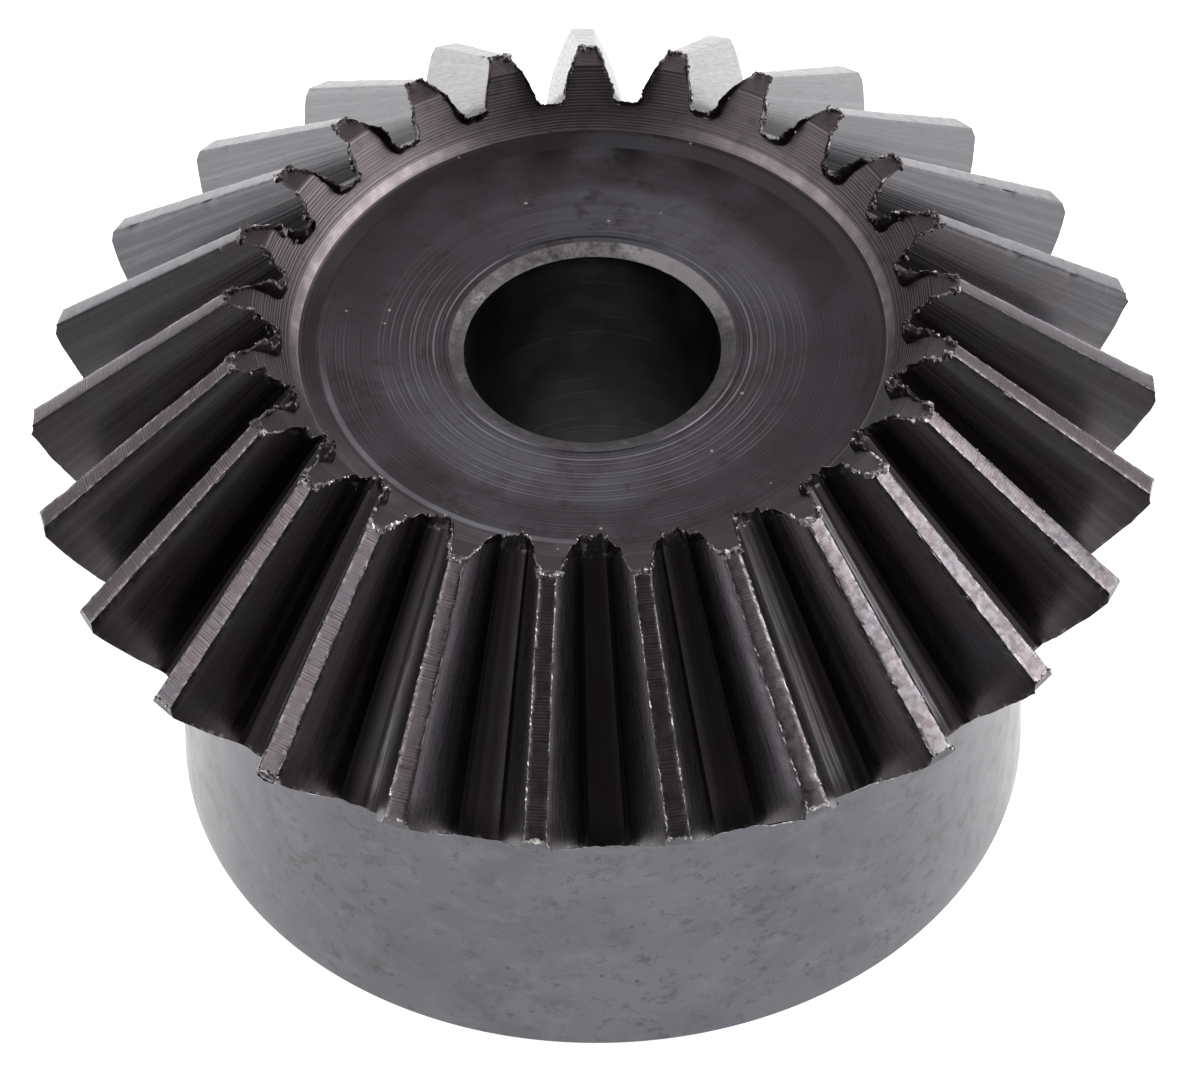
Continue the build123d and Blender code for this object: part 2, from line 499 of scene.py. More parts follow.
class Slivers:
    """Collects many small closed strips, sheets and grains into one mesh."""

    def __init__(self):
        self.vertices = []
        self.faces = []

    def add(self, points):
        """Keeps the points and returns the index of the first."""
        start = sum(map(len, self.vertices))
        self.vertices.append(points.reshape(-1, 3))
        return start

    def strip(self, path, rise, lean, height, width):
        """A strip along a path with a diamond section: `height` towards `rise`, `width` towards `lean`."""
        height, width = height[:, None], width[:, None]
        sides = [path + rise * height, path + lean * width, path - rise * height * 0.5, path - lean * width]
        start = self.add(np.stack(sides, 1))
        last = start + (len(path) - 1) * 4
        for ring in range(start, last, 4):
            for k in range(4):
                a, b = ring + k, ring + (k + 1) % 4
                self.faces.append((a, b, b + 4, a + 4))
        self.faces.append((start + 3, start + 2, start + 1, start))
        self.faces.append((last, last + 1, last + 2, last + 3))

    def torn_strips(self, path, rise, lean, strength, seed, height, width):
        """Strips wherever the strength is above zero, of uneven size and thin at their ends."""
        for a, b in runs(strength, 4):
            grow = np.clip(strength[a:b], 0.2, 1.2) * taper(b - a, 2, 0.2)
            grow = grow * (0.8 + 0.5 * smooth_noise(b - a, 1.2, seed + a))
            self.strip(path[a:b], rise[a:b], lean[a:b], height * grow, width * grow)

    def sheet(self, top, bottom):
        """A closed sheet between two equal grids of points."""
        rows, columns = top.shape[:2]
        start = self.add(top)
        under = self.add(bottom)
        for i in range(rows - 1):
            for j in range(columns - 1):
                a = i * columns + j
                self.faces.append((start + a, start + a + 1, start + a + columns + 1, start + a + columns))
                self.faces.append((under + a, under + a + columns, under + a + columns + 1, under + a + 1))
        index = np.arange(rows * columns).reshape(rows, columns)
        rim = np.concatenate([index[0], index[1:, -1], index[-1, -2::-1], index[-2:0:-1, 0]]).tolist()
        for a, b in zip(rim, rim[1:] + rim[:1]):
            self.faces.append((start + b, start + a, under + a, under + b))

    def lump(self, centre, size):
        """A jagged grain of about that radius."""
        points = unit(GRAIN_CORNERS) * rng.uniform(0.5, 1.3, (12, 1)) * size * rng.uniform(0.7, 1.3, 3)
        start = self.add(centre + points)
        self.faces += [tuple(start + i for i in face) for face in GRAIN_FACES]

    def piece(self, name, crease=50):
        made = new_mesh(name, (np.concatenate(self.vertices) * MM).tolist(), self.faces)
        shade_smooth(made.data, crease)
        made.data.update()
        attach(made, "root")
        return made


def edge_burrs():
    """Bright wire edges along every land and round every tooth's toe end."""
    lands = Slivers()
    for tooth in range(TEETH):
        first = tooth * PER_TOOTH
        front = frontness(tooth)
        for n, i in enumerate(LAND_EDGES):
            side = 2 * n - 1
            path, inner, lower = (finer(grid[ALONG_TOOTH, first + i + step], 3) for step in (0, -side, side))
            lean = unit(path - inner)
            rise = unit(np.cross(np.gradient(path, axis=0), lean))
            rise *= np.sign(rise[:, 2:3])
            size = len(path)
            seed = 1000 + tooth * 11 + n
            strength = -1.0 + 1.45 * front ** 1.5 + 0.7 * smooth_noise(size, 17, seed)
            strength += 0.55 * smooth_noise(size, 3.5, seed + 300)
            path = shaken(path, lean, 0.010 + 0.022 * front, 1.9, seed + 600)
            path = path + unit(path - lower) * 0.006
            for a, b in runs(strength, 5):
                grow = np.clip(strength[a:b], 0.15, 1.1) * taper(b - a, 3, 0.15)
                grow = grow * (0.7 + 0.5 * smooth_noise(b - a, 1.1, seed + a))
                lands.strip(path[a:b], rise[a:b], lean[a:b], height=0.075 * grow, width=0.058 * grow)
            if front > 0.6:
                for spot in rng.integers(0, size, 16):
                    lands.lump(path[spot] + rise[spot] * 0.01, rng.uniform(0.02, 0.055))
        # round the toe end, from the foot of one flank over the land to the foot of the other
        columns = [first + i for i in range(FIRST_FLANK, PER_TOOTH - FIRST_FLANK + 1)]
        path, inward = (finer(grid[row, columns], 4) for row in (TOE_ROW, TOE_ROW - 2))
        rise = unit(path - inward)
        lean = unit(np.cross(np.gradient(path, axis=0), rise))
        size = len(path)
        seed = 4000 + tooth * 13
        path = shaken(path, rise, 0.04, 1.6, seed + 2)
        path = shaken(path, lean, 0.03, 1.3, seed + 3)
        strength = 0.50 + 0.7 * smooth_noise(size, 11, seed) + 0.5 * smooth_noise(size, 2.5, seed + 1)
        if front > 0.5:
            strength -= np.clip((CREASE_STEPS + 0.5 - from_ends(size) / 4) * 1.5, 0, 3)
        thick = 1 + 0.4 * front
        lands.torn_strips(path, rise, lean, strength, seed, height=0.11 * thick, width=0.075 * thick)
    return lands.piece("edge_burrs")


def toe_lips():
    """Ragged lips that the planing tool pushed out of each tooth space."""
    reach_up = next(i for i, c in enumerate(pattern) if c.kind == "flank" and c.rise > 0.7)
    lips = Slivers()
    tips = []
    for space in range(TEETH):
        beside = abs(math.sin((space - 0.5) * 2 * half_pitch))
        columns = [(space * PER_TOOTH + i) % COLUMNS for i in range(-reach_up, reach_up + 1)]
        foot, behind = (finer(grid[row, columns], 3) for row in (TOE_ROW, TOE_ROW - 2))
        forward = unit(foot - behind)
        size = len(foot)
        gone = np.concatenate([[0.0], np.cumsum(np.linalg.norm(np.diff(foot, axis=0), axis=1))])
        across = 2 * gone / gone[-1] - 1
        seed = 7000 + space * 17
        longest = rng.uniform(0.60, 1.0) * (1 - 0.35 * beside)
        lean = rng.uniform(-0.22, 0.22)
        curl = rng.uniform(-0.10, 0.22) + 0.30 * beside
        outline = np.clip(1 - np.abs(across + lean * (1 - across ** 2)) ** 2.1, 0, 1)
        uneven = 0.90 + 0.12 * smooth_noise(size, 3.7, seed) + 0.06 * smooth_noise(size, 1.0, seed + 1)
        length = longest * outline * uneven * (1 + 0.40 * beside * smooth_noise(size, 2.4, seed + 2))
        length = np.maximum(length, 0.02)
        out = unit(np.cross(forward, np.gradient(foot, axis=0)))
        out *= np.sign(out[:, 2:3])
        rows = []
        for share in np.linspace(-0.25, 1, 7):
            bend = curl * max(share, 0) ** 2 * length / 0.7
            ripple = (0.02 + 0.08 * beside) * share * smooth_noise(size, 2.6, seed + 5)
            fold = 0.06 * beside * share * smooth_noise(size, 1.3, seed + 6 + int(share * 4))
            rows.append(foot + forward * (length * share)[:, None] + out * (bend + ripple + fold)[:, None])
        top = np.array(rows) - out * 0.004
        tips.append(top[-1])
        thick = np.linspace(0.07, 0.03, 7)[:, None, None] * (1 + 0.8 * beside)
        lips.sheet(top, top - out * thick)
    return lips.piece("toe_lips"), tips


def grains(tips):
    """Crumbs of torn metal on the toe edges, the lips and the front teeth's heel ends."""
    crumbs = Slivers()
    for tooth in range(TEETH):
        first = tooth * PER_TOOTH
        front = frontness(tooth)
        beside = abs(math.sin(tooth * 2 * half_pitch))
        lowest = FIRST_FLANK + (CREASE_STEPS if front > 0.5 else 0)
        for _ in range(int(16 + 44 * front)):
            if rng.random() < 0.45:
                c = first + rng.choice(LAND_EDGES) + rng.integers(-1, 2)
            else:
                c = first + rng.integers(lowest, PER_TOOTH - lowest)
            share = rng.random()
            here = grid[TOE_ROW, c] * (1 - share) + grid[TOE_ROW, c + 1] * share
            onward = (grid[TOE_ROW + 1, c] - grid[TOE_ROW, c]) * rng.uniform(0, 0.5)
            back = (grid[TOE_ROW - 1, c] - grid[TOE_ROW, c]) * rng.uniform(0, 0.4) * (rng.random() < 0.4)
            size = rng.uniform(0.04, 0.105) * (1 + 0.5 * beside) * (1 + 0.9 * (rng.random() < 0.2))
            crumbs.lump(here + onward + back, size)
        for _ in range(int(14 + 12 * beside)):
            spot = tips[tooth][rng.integers(1, len(tips[tooth]) - 1)]
            crumbs.lump(spot, rng.uniform(0.02, 0.055) * (1 + 1.3 * beside))
        if front > 0.7:
            for _ in range(16):
                c = first + rng.integers(*LAND_EDGES)
                down = rng.uniform(0, 0.25)
                here = grid[HEEL_ROWS, c] * (1 - down) + grid[HEEL_ROWS - 1, c] * down
                crumbs.lump(here, rng.uniform(0.04, 0.11))
    return crumbs.piece("grains", crease=12)


CURLED_TOOTH = 15  # a tooth at the front left ends in a curled chip
CURL_POINTS = 40


def heel_fringe():
    """Torn flakes along the heel edges of the tooth spaces and lands."""
    flakes = Slivers()
    for tooth in range(TEETH):
        first = tooth * PER_TOOTH
        columns = [(first + i) % COLUMNS for i in range(PER_TOOTH + 1)]
        path, inside, below = (finer(grid[HEEL_ROWS + step, columns], 3) for step in (0, 2, -2))
        rise = unit(path - inside)
        lean = unit(below - path)
        size = len(path)
        seed = 9000 + tooth * 19
        strength = -1.0 + 1.5 * frontness(tooth) + 0.8 * smooth_noise(size, 11, seed)
        strength += 0.5 * smooth_noise(size, 3.0, seed + 1)
        path = shaken(path, lean, 0.05, 1.6, seed + 2)
        flakes.torn_strips(path, rise, lean, strength, seed, height=0.06, width=0.19)
        if tooth == CURLED_TOOTH:
            left, right = (grid[HEEL_ROWS, first + i] for i in LAND_EDGES)
            middle = (left + right) / 2
            under = grid[HEEL_ROWS - 2, first + LAND_EDGES[0] + 3] - middle
            turn = np.linspace(0.15, 2 * math.pi - 0.3, CURL_POINTS)[:, None]
            ring = middle + under * 0.5 + (right - left) * 0.5 * np.cos(turn)
            ring = ring + unit(under) * 0.30 * np.sin(turn) + unit((left + right) * (0.5, 0.5, 0)) * 0.10
            outward = unit(ring - ring.mean(axis=0))
            face = np.tile(unit(np.cross(right - left, under)), (CURL_POINTS, 1))
            grow = 0.8 + 0.4 * smooth_noise(CURL_POINTS, 2.0, seed + 7)
            flakes.strip(ring, outward, face, height=0.05 * grow, width=0.07 * grow)
    return flakes.piece("heel_fringe")


edge_piece = edge_burrs()
lip_piece, lip_tips = toe_lips()
fringe_piece = heel_fringe()
grain_piece = grains(lip_tips)


# ---- Materials: blackened steel, each surface with the marks of the tool that cut it ----
def put(socket, value):
    """Gives a socket a signal, a number or an (r, g, b) colour."""
    if isinstance(value, Signal):
        socket.id_data.links.new(value.socket, socket)
    else:
        socket.default_value = (*value, 1.0) if isinstance(value, tuple) else value


def add_node(tree, kind, output, inputs=None, **settings):
    """Adds a shader node and returns one of its outputs as a signal."""
    node = tree.nodes.new("ShaderNode" + kind)
    for name, value in settings.items():
        setattr(node, name, value)
    for name, value in (inputs or {}).items():
        put(node.inputs[name], value)
    return Signal(node.outputs[output])


class Signal:
    """An output in a node tree. Arithmetic and ramps on it add nodes to the tree."""

    def __init__(self, socket):
        self.socket = socket
        self.tree = socket.id_data

    def operate(self, operation, other=0.0):
        return add_node(self.tree, "Math", 0, {0: self, 1: other}, operation=operation)

    def __rsub__(self, other):
        return add_node(self.tree, "Math", 0, {0: other, 1: self}, operation="SUBTRACT")

    __add__ = partialmethod(operate, "ADD")
    __sub__ = partialmethod(operate, "SUBTRACT")
    __mul__ = partialmethod(operate, "MULTIPLY")
    __truediv__ = partialmethod(operate, "DIVIDE")
    __abs__ = partialmethod(operate, "ABSOLUTE")
    larger = partialmethod(operate, "MAXIMUM")

    def ramp(self, low, high, to_low=0.0, to_high=1.0):
        """Goes smoothly from `to_low` to `to_high` while the signal goes from `low` to `high`."""
        limits = {"Value": self, "From Min": low, "From Max": high, "To Min": to_low, "To Max": to_high}
        return add_node(self.tree, "MapRange", "Result", limits, interpolation_type="SMOOTHSTEP")

    def fade(self, low, high, most):
        return self.ramp(low, high, 0.0, most)

    def split(self):
        """The x, y and z of a vector."""
        node = self.tree.nodes.new("ShaderNodeSeparateXYZ")
        put(node.inputs[0], self)
        return [Signal(output) for output in node.outputs]


BARE = (0.5, 0.475, 0.47)
SCARRED = (0.09, 0.08, 0.08)


class Finish:
    """A node material; its coordinates are millimetres in the gear's own frame."""

    def __init__(self, name):
        self.material = bpy.data.materials.new(name)
        self.material.use_nodes = True
        self.tree = self.material.node_tree
        self.shader = self.tree.nodes["Principled BSDF"].inputs
        put(self.shader["Metallic"], 1.0)
        place = add_node(self.tree, "TexCoord", "Object")
        self.place = add_node(self.tree, "VectorMath", 0, {0: place, "Scale": 1 / MM}, operation="SCALE")
        self.x, self.y, self.z = self.place.split()
        self.radius = (self.x * self.x + self.y * self.y).operate("SQRT")
        self.colour = None
        self.normal = None

    def attribute(self, name):
        return add_node(self.tree, "Attribute", "Fac", attribute_name=name)

    def noise(self, scale, detail=3.0, at=None, roughness=0.5):
        look = {"Vector": at or self.place, "Scale": scale, "Detail": detail, "Roughness": roughness}
        return add_node(self.tree, "TexNoise", "Fac", look)

    def lines(self, across, pitch, detail=2.0, roughness=0.6):
        """Parallel tool marks: a random profile across, unchanging along."""
        look = {"W": across, "Scale": 1 / pitch, "Detail": detail, "Roughness": roughness}
        return add_node(self.tree, "TexNoise", "Fac", look, noise_dimensions="1D")

    def spots(self, scale):
        """Distance to the nearest of many scattered points, in cells."""
        return add_node(self.tree, "TexVoronoi", "Distance", {"Vector": self.place, "Scale": scale})

    def ridges(self, across, pitch):
        """Regular turning marks of one feed per turn, uneven in depth."""
        phase = across * (2 * math.pi / pitch)
        drift = self.lines(across, pitch * 3, 1.0) * 7.0
        deep = self.lines(across, pitch * 1.5, 2.0).ramp(0.25, 0.75, 0.2, 1.0)
        return (phase + drift).operate("SINE") * 0.5 * deep + 0.5

    def vector(self, x, y, z):
        return add_node(self.tree, "CombineXYZ", 0, {0: x, 1: y, 2: z})

    def mix(self, share, first, second):
        return add_node(self.tree, "Mix", 2, {"Factor": share, 6: first, 7: second}, data_type="RGBA")

    def tint(self, share, colour):
        """Lays a colour over the finish, where and as strongly as the share says."""
        self.colour = self.mix(share, self.colour, colour)

    def wear(self, scale, low, high, share):
        """Bare metal along the edges, in patches of noise between `low` and `high`."""
        self.tint(self.attribute("edge") * self.noise(scale, 4.0).ramp(low, high) * share, BARE)

    def bump(self, height, depth):
        """Adds relief: its depth in millimetres for a height of one."""
        inputs = {"Strength": 1.0, "Distance": depth * MM, "Height": height}
        if self.normal is not None:
            inputs["Normal"] = self.normal
        self.normal = add_node(self.tree, "Bump", "Normal", inputs)

    def finish(self, roughness):
        put(self.shader["Base Color"], self.colour)
        put(self.shader["Roughness"], roughness)
        if self.normal is not None:
            put(self.shader["Normal"], self.normal)
        return self.material


def flank_finish():
    f = Finish("planed_flank")
    profile, toe_distance, depth = (f.attribute(name) for name in ("across", "toe_distance", "depth"))
    across = profile + f.attribute("lot") + f.noise(0.25, 1.0) * 0.25
    broad = f.lines(across, 0.5, 3.0)
    torn = f.noise(2.4, 4.0, at=f.vector(across * 3.0, toe_distance * 0.25, 0.0), roughness=0.65)
    brown = f.noise(0.35, 3.0).ramp(0.32, 0.62) * f.y.ramp(9.0, -2.0, 0.2, 1.0)
    f.colour = f.mix(brown, (0.134, 0.134, 0.144), (0.145, 0.115, 0.116))
    f.tint(broad.fade(0.42, 0.78, 0.7), (0.196, 0.192, 0.205))
    f.tint(torn.fade(0.55, 0.8, 0.5), (0.07, 0.062, 0.064))
    # dark scoring low on the flanks at the sides, from the toe on
    drawn = toe_distance.ramp(8.0, 1.0) * depth.ramp(0.15, 0.6) * abs(f.x).ramp(8.0, 14.0)
    scored = f.lines(across, 0.16, 3.0, 0.7).ramp(0.54, 0.44) * drawn
    f.tint(scored * 0.75, (0.034, 0.029, 0.031))
    # painted shade: darker on the near side and in the roots, less so where the spaces face the camera
    near = f.y.ramp(-16.0, 2.0, 1.0, 0.0)
    forward = f.y / f.radius
    front = forward.ramp(-0.95, -0.8, 1.0, 0.0)
    root = depth.ramp(0.86, 1.0)
    low = root.larger(depth.ramp(0.55, 1.0) * (1.0 - front))
    aside = abs(f.x).ramp(3.0, 8.0) * front
    root_shade = low * near.ramp(0.0, 1.0, 0.25, 1.0) * (1.0 - front * 0.35) * aside.ramp(0.0, 1.0, 1.0, 0.5)
    f.tint(near * (1.0 - front) * 0.38, (0.062, 0.052, 0.054))
    f.tint(root_shade * 0.85, (0.04, 0.034, 0.035))
    # painted light: the upper part of the front flanks is lighter, with streaks along the tooth
    upper_front_light = depth.ramp(1.0, 0.45) * front
    f.tint(upper_front_light * 0.88, (0.45, 0.428, 0.456))
    fibres = f.lines(across, 0.4, 4.0, 0.75)
    f.tint(fibres.ramp(0.54, 0.7) * upper_front_light * 0.6, (0.42, 0.41, 0.44))
    # fibrous metal on the flanks that face outward, at the front left and the front right
    second_side = profile.ramp(5.6, 6.6)
    facing_left = second_side * f.x.ramp(-7.0, -12.0)
    facing_right = (1.0 - second_side) * f.x.ramp(5.0, 13.0)
    outward = (facing_left + facing_right) * forward.ramp(-0.66, -0.75)
    fibrous = outward * fibres.ramp(0.42, 0.58, 0.1, 1.0) * torn.ramp(0.7, 0.45, 0.3, 1.0)
    f.tint(fibrous, (0.35, 0.34, 0.368))
    # painted shade: the near flanks darker towards the heel
    f.tint(toe_distance.fade(11.2, 12.8, 0.8) * near, (0.045, 0.038, 0.038))
    f.wear(2.5, 0.5, 0.66, f.y.ramp(-6.0, 6.0, 0.75, 0.08))
    f.bump(f.lines(across, 0.07, 2.0), 0.0022)
    f.bump(broad, 0.006)
    f.bump(torn, 0.003)
    f.bump(fibres * outward, 0.02)
    return f.finish(torn.ramp(0.2, 0.9, 0.22, 0.36) + root * 0.12)


def land_finish():
    f = Finish("turned_land")
    ridges = f.ridges(f.radius * 1.32 + f.noise(0.5, 1.0) * 0.1, 0.15)
    scars = f.noise(1.6, 5.0, roughness=0.7)
    worn = f.noise(0.9, 3.0).ramp(0.38, 0.62, 0.2, 1.0) * f.x.ramp(4.0, 12.0, 1.0, 0.45)
    f.colour = f.mix(f.noise(0.45, 4.0).ramp(0.35, 0.62), (0.168, 0.153, 0.167), (0.188, 0.149, 0.158))
    f.tint(ridges.fade(0.15, 0.85, 0.7) * worn, (0.285, 0.254, 0.274))
    f.tint(ridges.fade(0.45, 0.12, 0.65) * worn, (0.085, 0.07, 0.075))
    f.tint(f.y.fade(-4.0, 8.0, 0.85), (0.172, 0.17, 0.183))
    # painted shade: the lands darker on the right, away from the front
    f.tint(f.x.fade(10.0, 18.0, 0.28) * f.y.ramp(-5.0, 1.0), (0.085, 0.082, 0.088))
    battered = f.x.ramp(4.0, 9.0) * f.y.ramp(-4.0, -9.0)
    mottle = f.noise(2.3, 5.0, roughness=0.65)
    f.tint(mottle.fade(0.44, 0.58, 0.75) * battered, (0.275, 0.262, 0.27))
    f.tint(mottle.fade(0.42, 0.34, 0.75) * battered, (0.105, 0.092, 0.092))
    f.tint(scars.fade(0.56, 0.75, 0.5), SCARRED)
    f.wear(3.5, 0.46, 0.62, f.y.ramp(-6.0, 6.0, 1.0, 0.1))
    f.bump(ridges * worn, 0.007)
    f.bump(scars, 0.008)
    return f.finish(scars.ramp(0.3, 0.8, 0.26, 0.4))


def nose_finish():
    f = Finish("turned_nose")
    ridges = f.ridges(f.radius * 1.41 + f.noise(0.4, 1.0) * 0.1, 0.15)
    scars = f.noise(1.1, 4.0, roughness=0.6)
    marks = ridges.ramp(0.2, 0.8) * f.y.ramp(-12.0, -2.0, 0.35, 1.0)
    f.colour = f.mix(marks, (0.11, 0.093, 0.102), (0.215, 0.186, 0.202))
    # painted light and shade: the toe ends lighter towards the back and the front right, darker at the front
    # left
    f.tint(f.y.fade(6.0, 13.0, 0.4), (0.29, 0.25, 0.268))
    f.tint(f.x.fade(7.0, 12.0, 0.8) * f.y.ramp(0.0, -6.0), (0.31, 0.295, 0.32))
    f.tint(f.x.fade(-9.0, -12.0, 0.4) * f.y.ramp(-3.0, -6.0), (0.1, 0.096, 0.102))
    f.tint(f.y.fade(-7.0, -11.0, 0.6), (0.185, 0.18, 0.202))
    f.tint(scars.fade(0.5, 0.75, 0.5), SCARRED)
    # the rim is a smooth band with a painted highlight, weaker towards the front, and the flat on the tooth
    # ends has painted shade
    smooth = f.radius.ramp(14.05, 14.25, 1.0, 0.0) * abs(f.x).ramp(2.5, 9.0, 0.15, 1.0)
    smooth = smooth * f.y.ramp(-4.0, 1.5, 0.2, 1.0)
    f.tint(smooth * scars.ramp(0.2, 0.6, 1.0, 0.4), (0.52, 0.45, 0.465))
    flat = f.z.ramp(29.2, 29.27) * f.radius.ramp(14.6, 15.0)
    f.tint(flat * 0.65, (0.075, 0.058, 0.062))
    f.wear(3.5, 0.45, 0.62, 1.0)
    f.bump(marks * smooth.ramp(0.0, 1.0, 1.0, 0.1), 0.01)
    f.bump(scars, 0.006)
    return f.finish(0.42)


def face_finish():
    f = Finish("faced_recess")
    run = f.radius + f.noise(0.12, 1.0) * 0.06
    feed = f.ridges(run, 0.18) * 0.3
    rings = f.lines(run, 0.13, 3.0, 0.75) * 0.7 + feed
    stain = f.noise(0.22, 5.0, roughness=0.62)
    f.colour = f.mix(f.lines(run, 1.3, 2.0).ramp(0.3, 0.7), (0.118, 0.112, 0.125), (0.16, 0.154, 0.172))
    # a lighter bluish inner zone, with painted light making it strongest at the front
    inner = f.radius.ramp(9.0, 10.6, 1.0, 0.0) * f.y.ramp(-6.0, 2.0, 1.0, 0.25)
    f.tint(inner * 0.45, (0.224, 0.214, 0.248))
    f.tint(f.radius.ramp(9.6, 11.6, 0.15, 0.85) * stain.ramp(0.4, 0.54, 0.3, 1.0), (0.092, 0.077, 0.087))
    # painted shade: darker towards the right
    f.tint(f.x.fade(6.0, 12.0, 0.5), (0.06, 0.057, 0.068))
    f.tint(stain.fade(0.5, 0.64, 0.6), (0.092, 0.07, 0.07))
    f.tint(f.noise(0.8, 5.0, roughness=0.7).fade(0.53, 0.64, 0.55), (0.066, 0.05, 0.052))
    # painted shade: darker to both sides
    f.tint(abs(f.x).fade(3.0, 8.5, 0.42), (0.085, 0.07, 0.076))
    # painted highlight: the turned rings are lighter to the back right and the front left, and painted shade
    # makes them dull to the other two sides
    sheen_quarter = f.x * f.y
    f.tint(sheen_quarter.fade(-4.0, -26.0, 0.38), (0.085, 0.072, 0.08))
    f.tint(sheen_quarter.ramp(3.0, 26.0) * f.radius.ramp(9.0, 11.0, 0.3, 0.0), (0.26, 0.25, 0.285))
    coarse = f.radius.ramp(6.75, 7.2) * f.radius.ramp(9.8, 10.8, 1.0, 0.25)
    coarse = coarse * f.noise(0.33, 3.0).ramp(0.35, 0.6, 0.25, 1.0)
    coarse = coarse * f.y.ramp(1.0, 7.0, 1.0, 0.25) * f.x.ramp(6.5, 9.5, 1.0, 0.45)
    f.tint(rings.ramp(0.53, 0.66) * coarse * 0.8, (0.36, 0.35, 0.375))
    f.tint(rings.ramp(0.47, 0.34) * coarse * 0.7, (0.07, 0.062, 0.067))
    # the sloping wall under the rim, with painted shade towards the front left and the back left and painted
    # light towards the back right
    wall = f.radius.ramp(12.85, 13.0) * f.radius.ramp(13.5, 13.62, 1.0, 0.0)
    to_right = f.x + f.y
    f.tint(wall * to_right.ramp(-4.0, 9.0, 0.5, 0.0), (0.07, 0.058, 0.06))
    f.tint(wall * (f.y - f.x).fade(9.0, 17.0, 0.35), (0.05, 0.044, 0.048))
    f.tint(wall * to_right.fade(10.0, 17.0, 0.45), (0.2, 0.19, 0.2))
    # a painted highlight along one turned arc at the near left
    arc = f.radius.ramp(12.44, 12.54) * f.radius.ramp(12.7, 12.84, 1.0, 0.0)
    arc = arc * to_right.fade(-11.5, -16.0, 0.9) * stain.ramp(0.35, 0.6, 1.0, 0.6)
    f.tint(arc, (0.32, 0.315, 0.345))
    # the torn lip round the bore, its bright patches brighter towards the back and the back right as a
    # painted highlight
    lip = f.radius.ramp(6.75, 6.66)
    torn = f.noise(1.1, 8.0, roughness=0.8).ramp(0.4, 0.62)
    bright = torn.ramp(0.0, 1.0, 0.45, 1.0) * f.y.ramp(-3.5, 4.0, 0.45, 1.0)
    bright = bright * to_right.ramp(7.3, 8.6, 0.54, 1.85)
    f.tint(lip, f.mix(bright, (0.1, 0.092, 0.096), (0.52, 0.49, 0.495)))
    dust = f.spots(0.55).ramp(0.055, 0.035)
    f.tint(dust, (0.55, 0.52, 0.48))
    f.bump(f.lines(run, 0.06, 2.0), 0.0018)
    f.bump(rings * coarse, 0.009)
    f.bump(torn * lip, 0.02)
    # reflections stretch across the rings
    put(f.shader["Tangent"], add_node(f.tree, "Tangent", 0, direction_type="RADIAL", axis="Z"))
    put(f.shader["Anisotropic Rotation"], 0.25)
    put(f.shader["Anisotropic"], 0.42)
    put(f.shader["Specular Tint"], (0.35, 0.35, 0.35))
    return f.finish(stain.ramp(0.3, 0.8, 0.31, 0.43))


def bore_finish():
    f = Finish("bored_hole")
    marks = f.lines(f.z + f.noise(0.3, 1.0) * 0.5, 0.22, 3.0, 0.7)
    patch = f.noise(0.4, 4.0, roughness=0.6)
    f.colour = f.mix(patch.ramp(0.4, 0.7), (0.065, 0.062, 0.065), (0.095, 0.09, 0.093))
    f.tint(marks.fade(0.52, 0.7, 0.45) * patch.ramp(0.42, 0.58), (0.18, 0.17, 0.172))
    # painted shade: darker deeper down the bore
    f.tint(f.z.fade(26.0, 15.0, 0.35), (0.035, 0.033, 0.035))
    f.bump(marks, 0.003)
    return f.finish(patch.ramp(0.3, 0.7, 0.34, 0.44))


def hub_finish():
    f = Finish("oxide_hub")
    blotch = f.noise(0.62, 6.0, roughness=0.7)
    place = f.vector(f.x * 0.8, f.y * 0.8, f.z * 1.1)
    stain = f.noise(0.16, 5.0, roughness=0.6).ramp(0.35, 0.65)
    f.colour = f.mix(stain, (0.101, 0.101, 0.117), (0.124, 0.122, 0.137))
    f.tint(f.noise(0.55, 5.0, at=place, roughness=0.65).fade(0.5, 0.66, 0.35), (0.165, 0.165, 0.178))
    f.tint(blotch.fade(0.53, 0.65, 0.6), (0.092, 0.082, 0.084))
    fleck = f.noise(1.3, 6.0, at=place, roughness=0.75) + f.noise(0.11, 2.0).ramp(0.42, 0.6) * 0.045
    f.tint(fleck.fade(0.57, 0.69, 0.75), (0.072, 0.06, 0.058))
    f.tint(f.spots(0.5).fade(0.07, 0.04, 0.7), (0.05, 0.04, 0.04))
    f.bump(f.lines(f.z, 0.1, 2.0), 0.001)
    f.bump(blotch, 0.007)
    put(f.shader["Coat Weight"], 0.35)
    put(f.shader["Coat Roughness"], 0.22)
    return f.finish(blotch.ramp(0.3, 0.75, 0.26, 0.36))


def burr_finish(name, share, dark):
    """Torn metal, bright where the noise is above the share and dark below it."""
    f = Finish(name)
    patch = f.noise(2.2, 4.0, roughness=0.6)
    worn = patch - f.y.fade(-11.0, 0.0, 0.11)
    f.colour = f.mix(worn.ramp(share - 0.08, share + 0.08), dark, (0.62, 0.59, 0.585))
    f.bump(f.noise(9.0, 3.0), 0.012)
    return f.finish(patch.ramp(0.3, 0.7, 0.42, 0.28))


# in the order of REGIONS
for region_finish in (flank_finish, land_finish, nose_finish, face_finish, bore_finish, hub_finish):
    gear.data.materials.append(region_finish())
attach(gear, "root")
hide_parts("bevel_gear")
for piece, name, share, dark in (
    (edge_piece, "bright_edge", 0.46, (0.2, 0.18, 0.18)),
    (lip_piece, "dark_lip", 0.61, (0.085, 0.075, 0.075)),
    (grain_piece, "bright_grain", 0.5, (0.16, 0.14, 0.14)),
    (fringe_piece, "bright_flake", 0.5, (0.18, 0.16, 0.16)),
):
    piece.data.materials.append(burr_finish(name, share, dark))


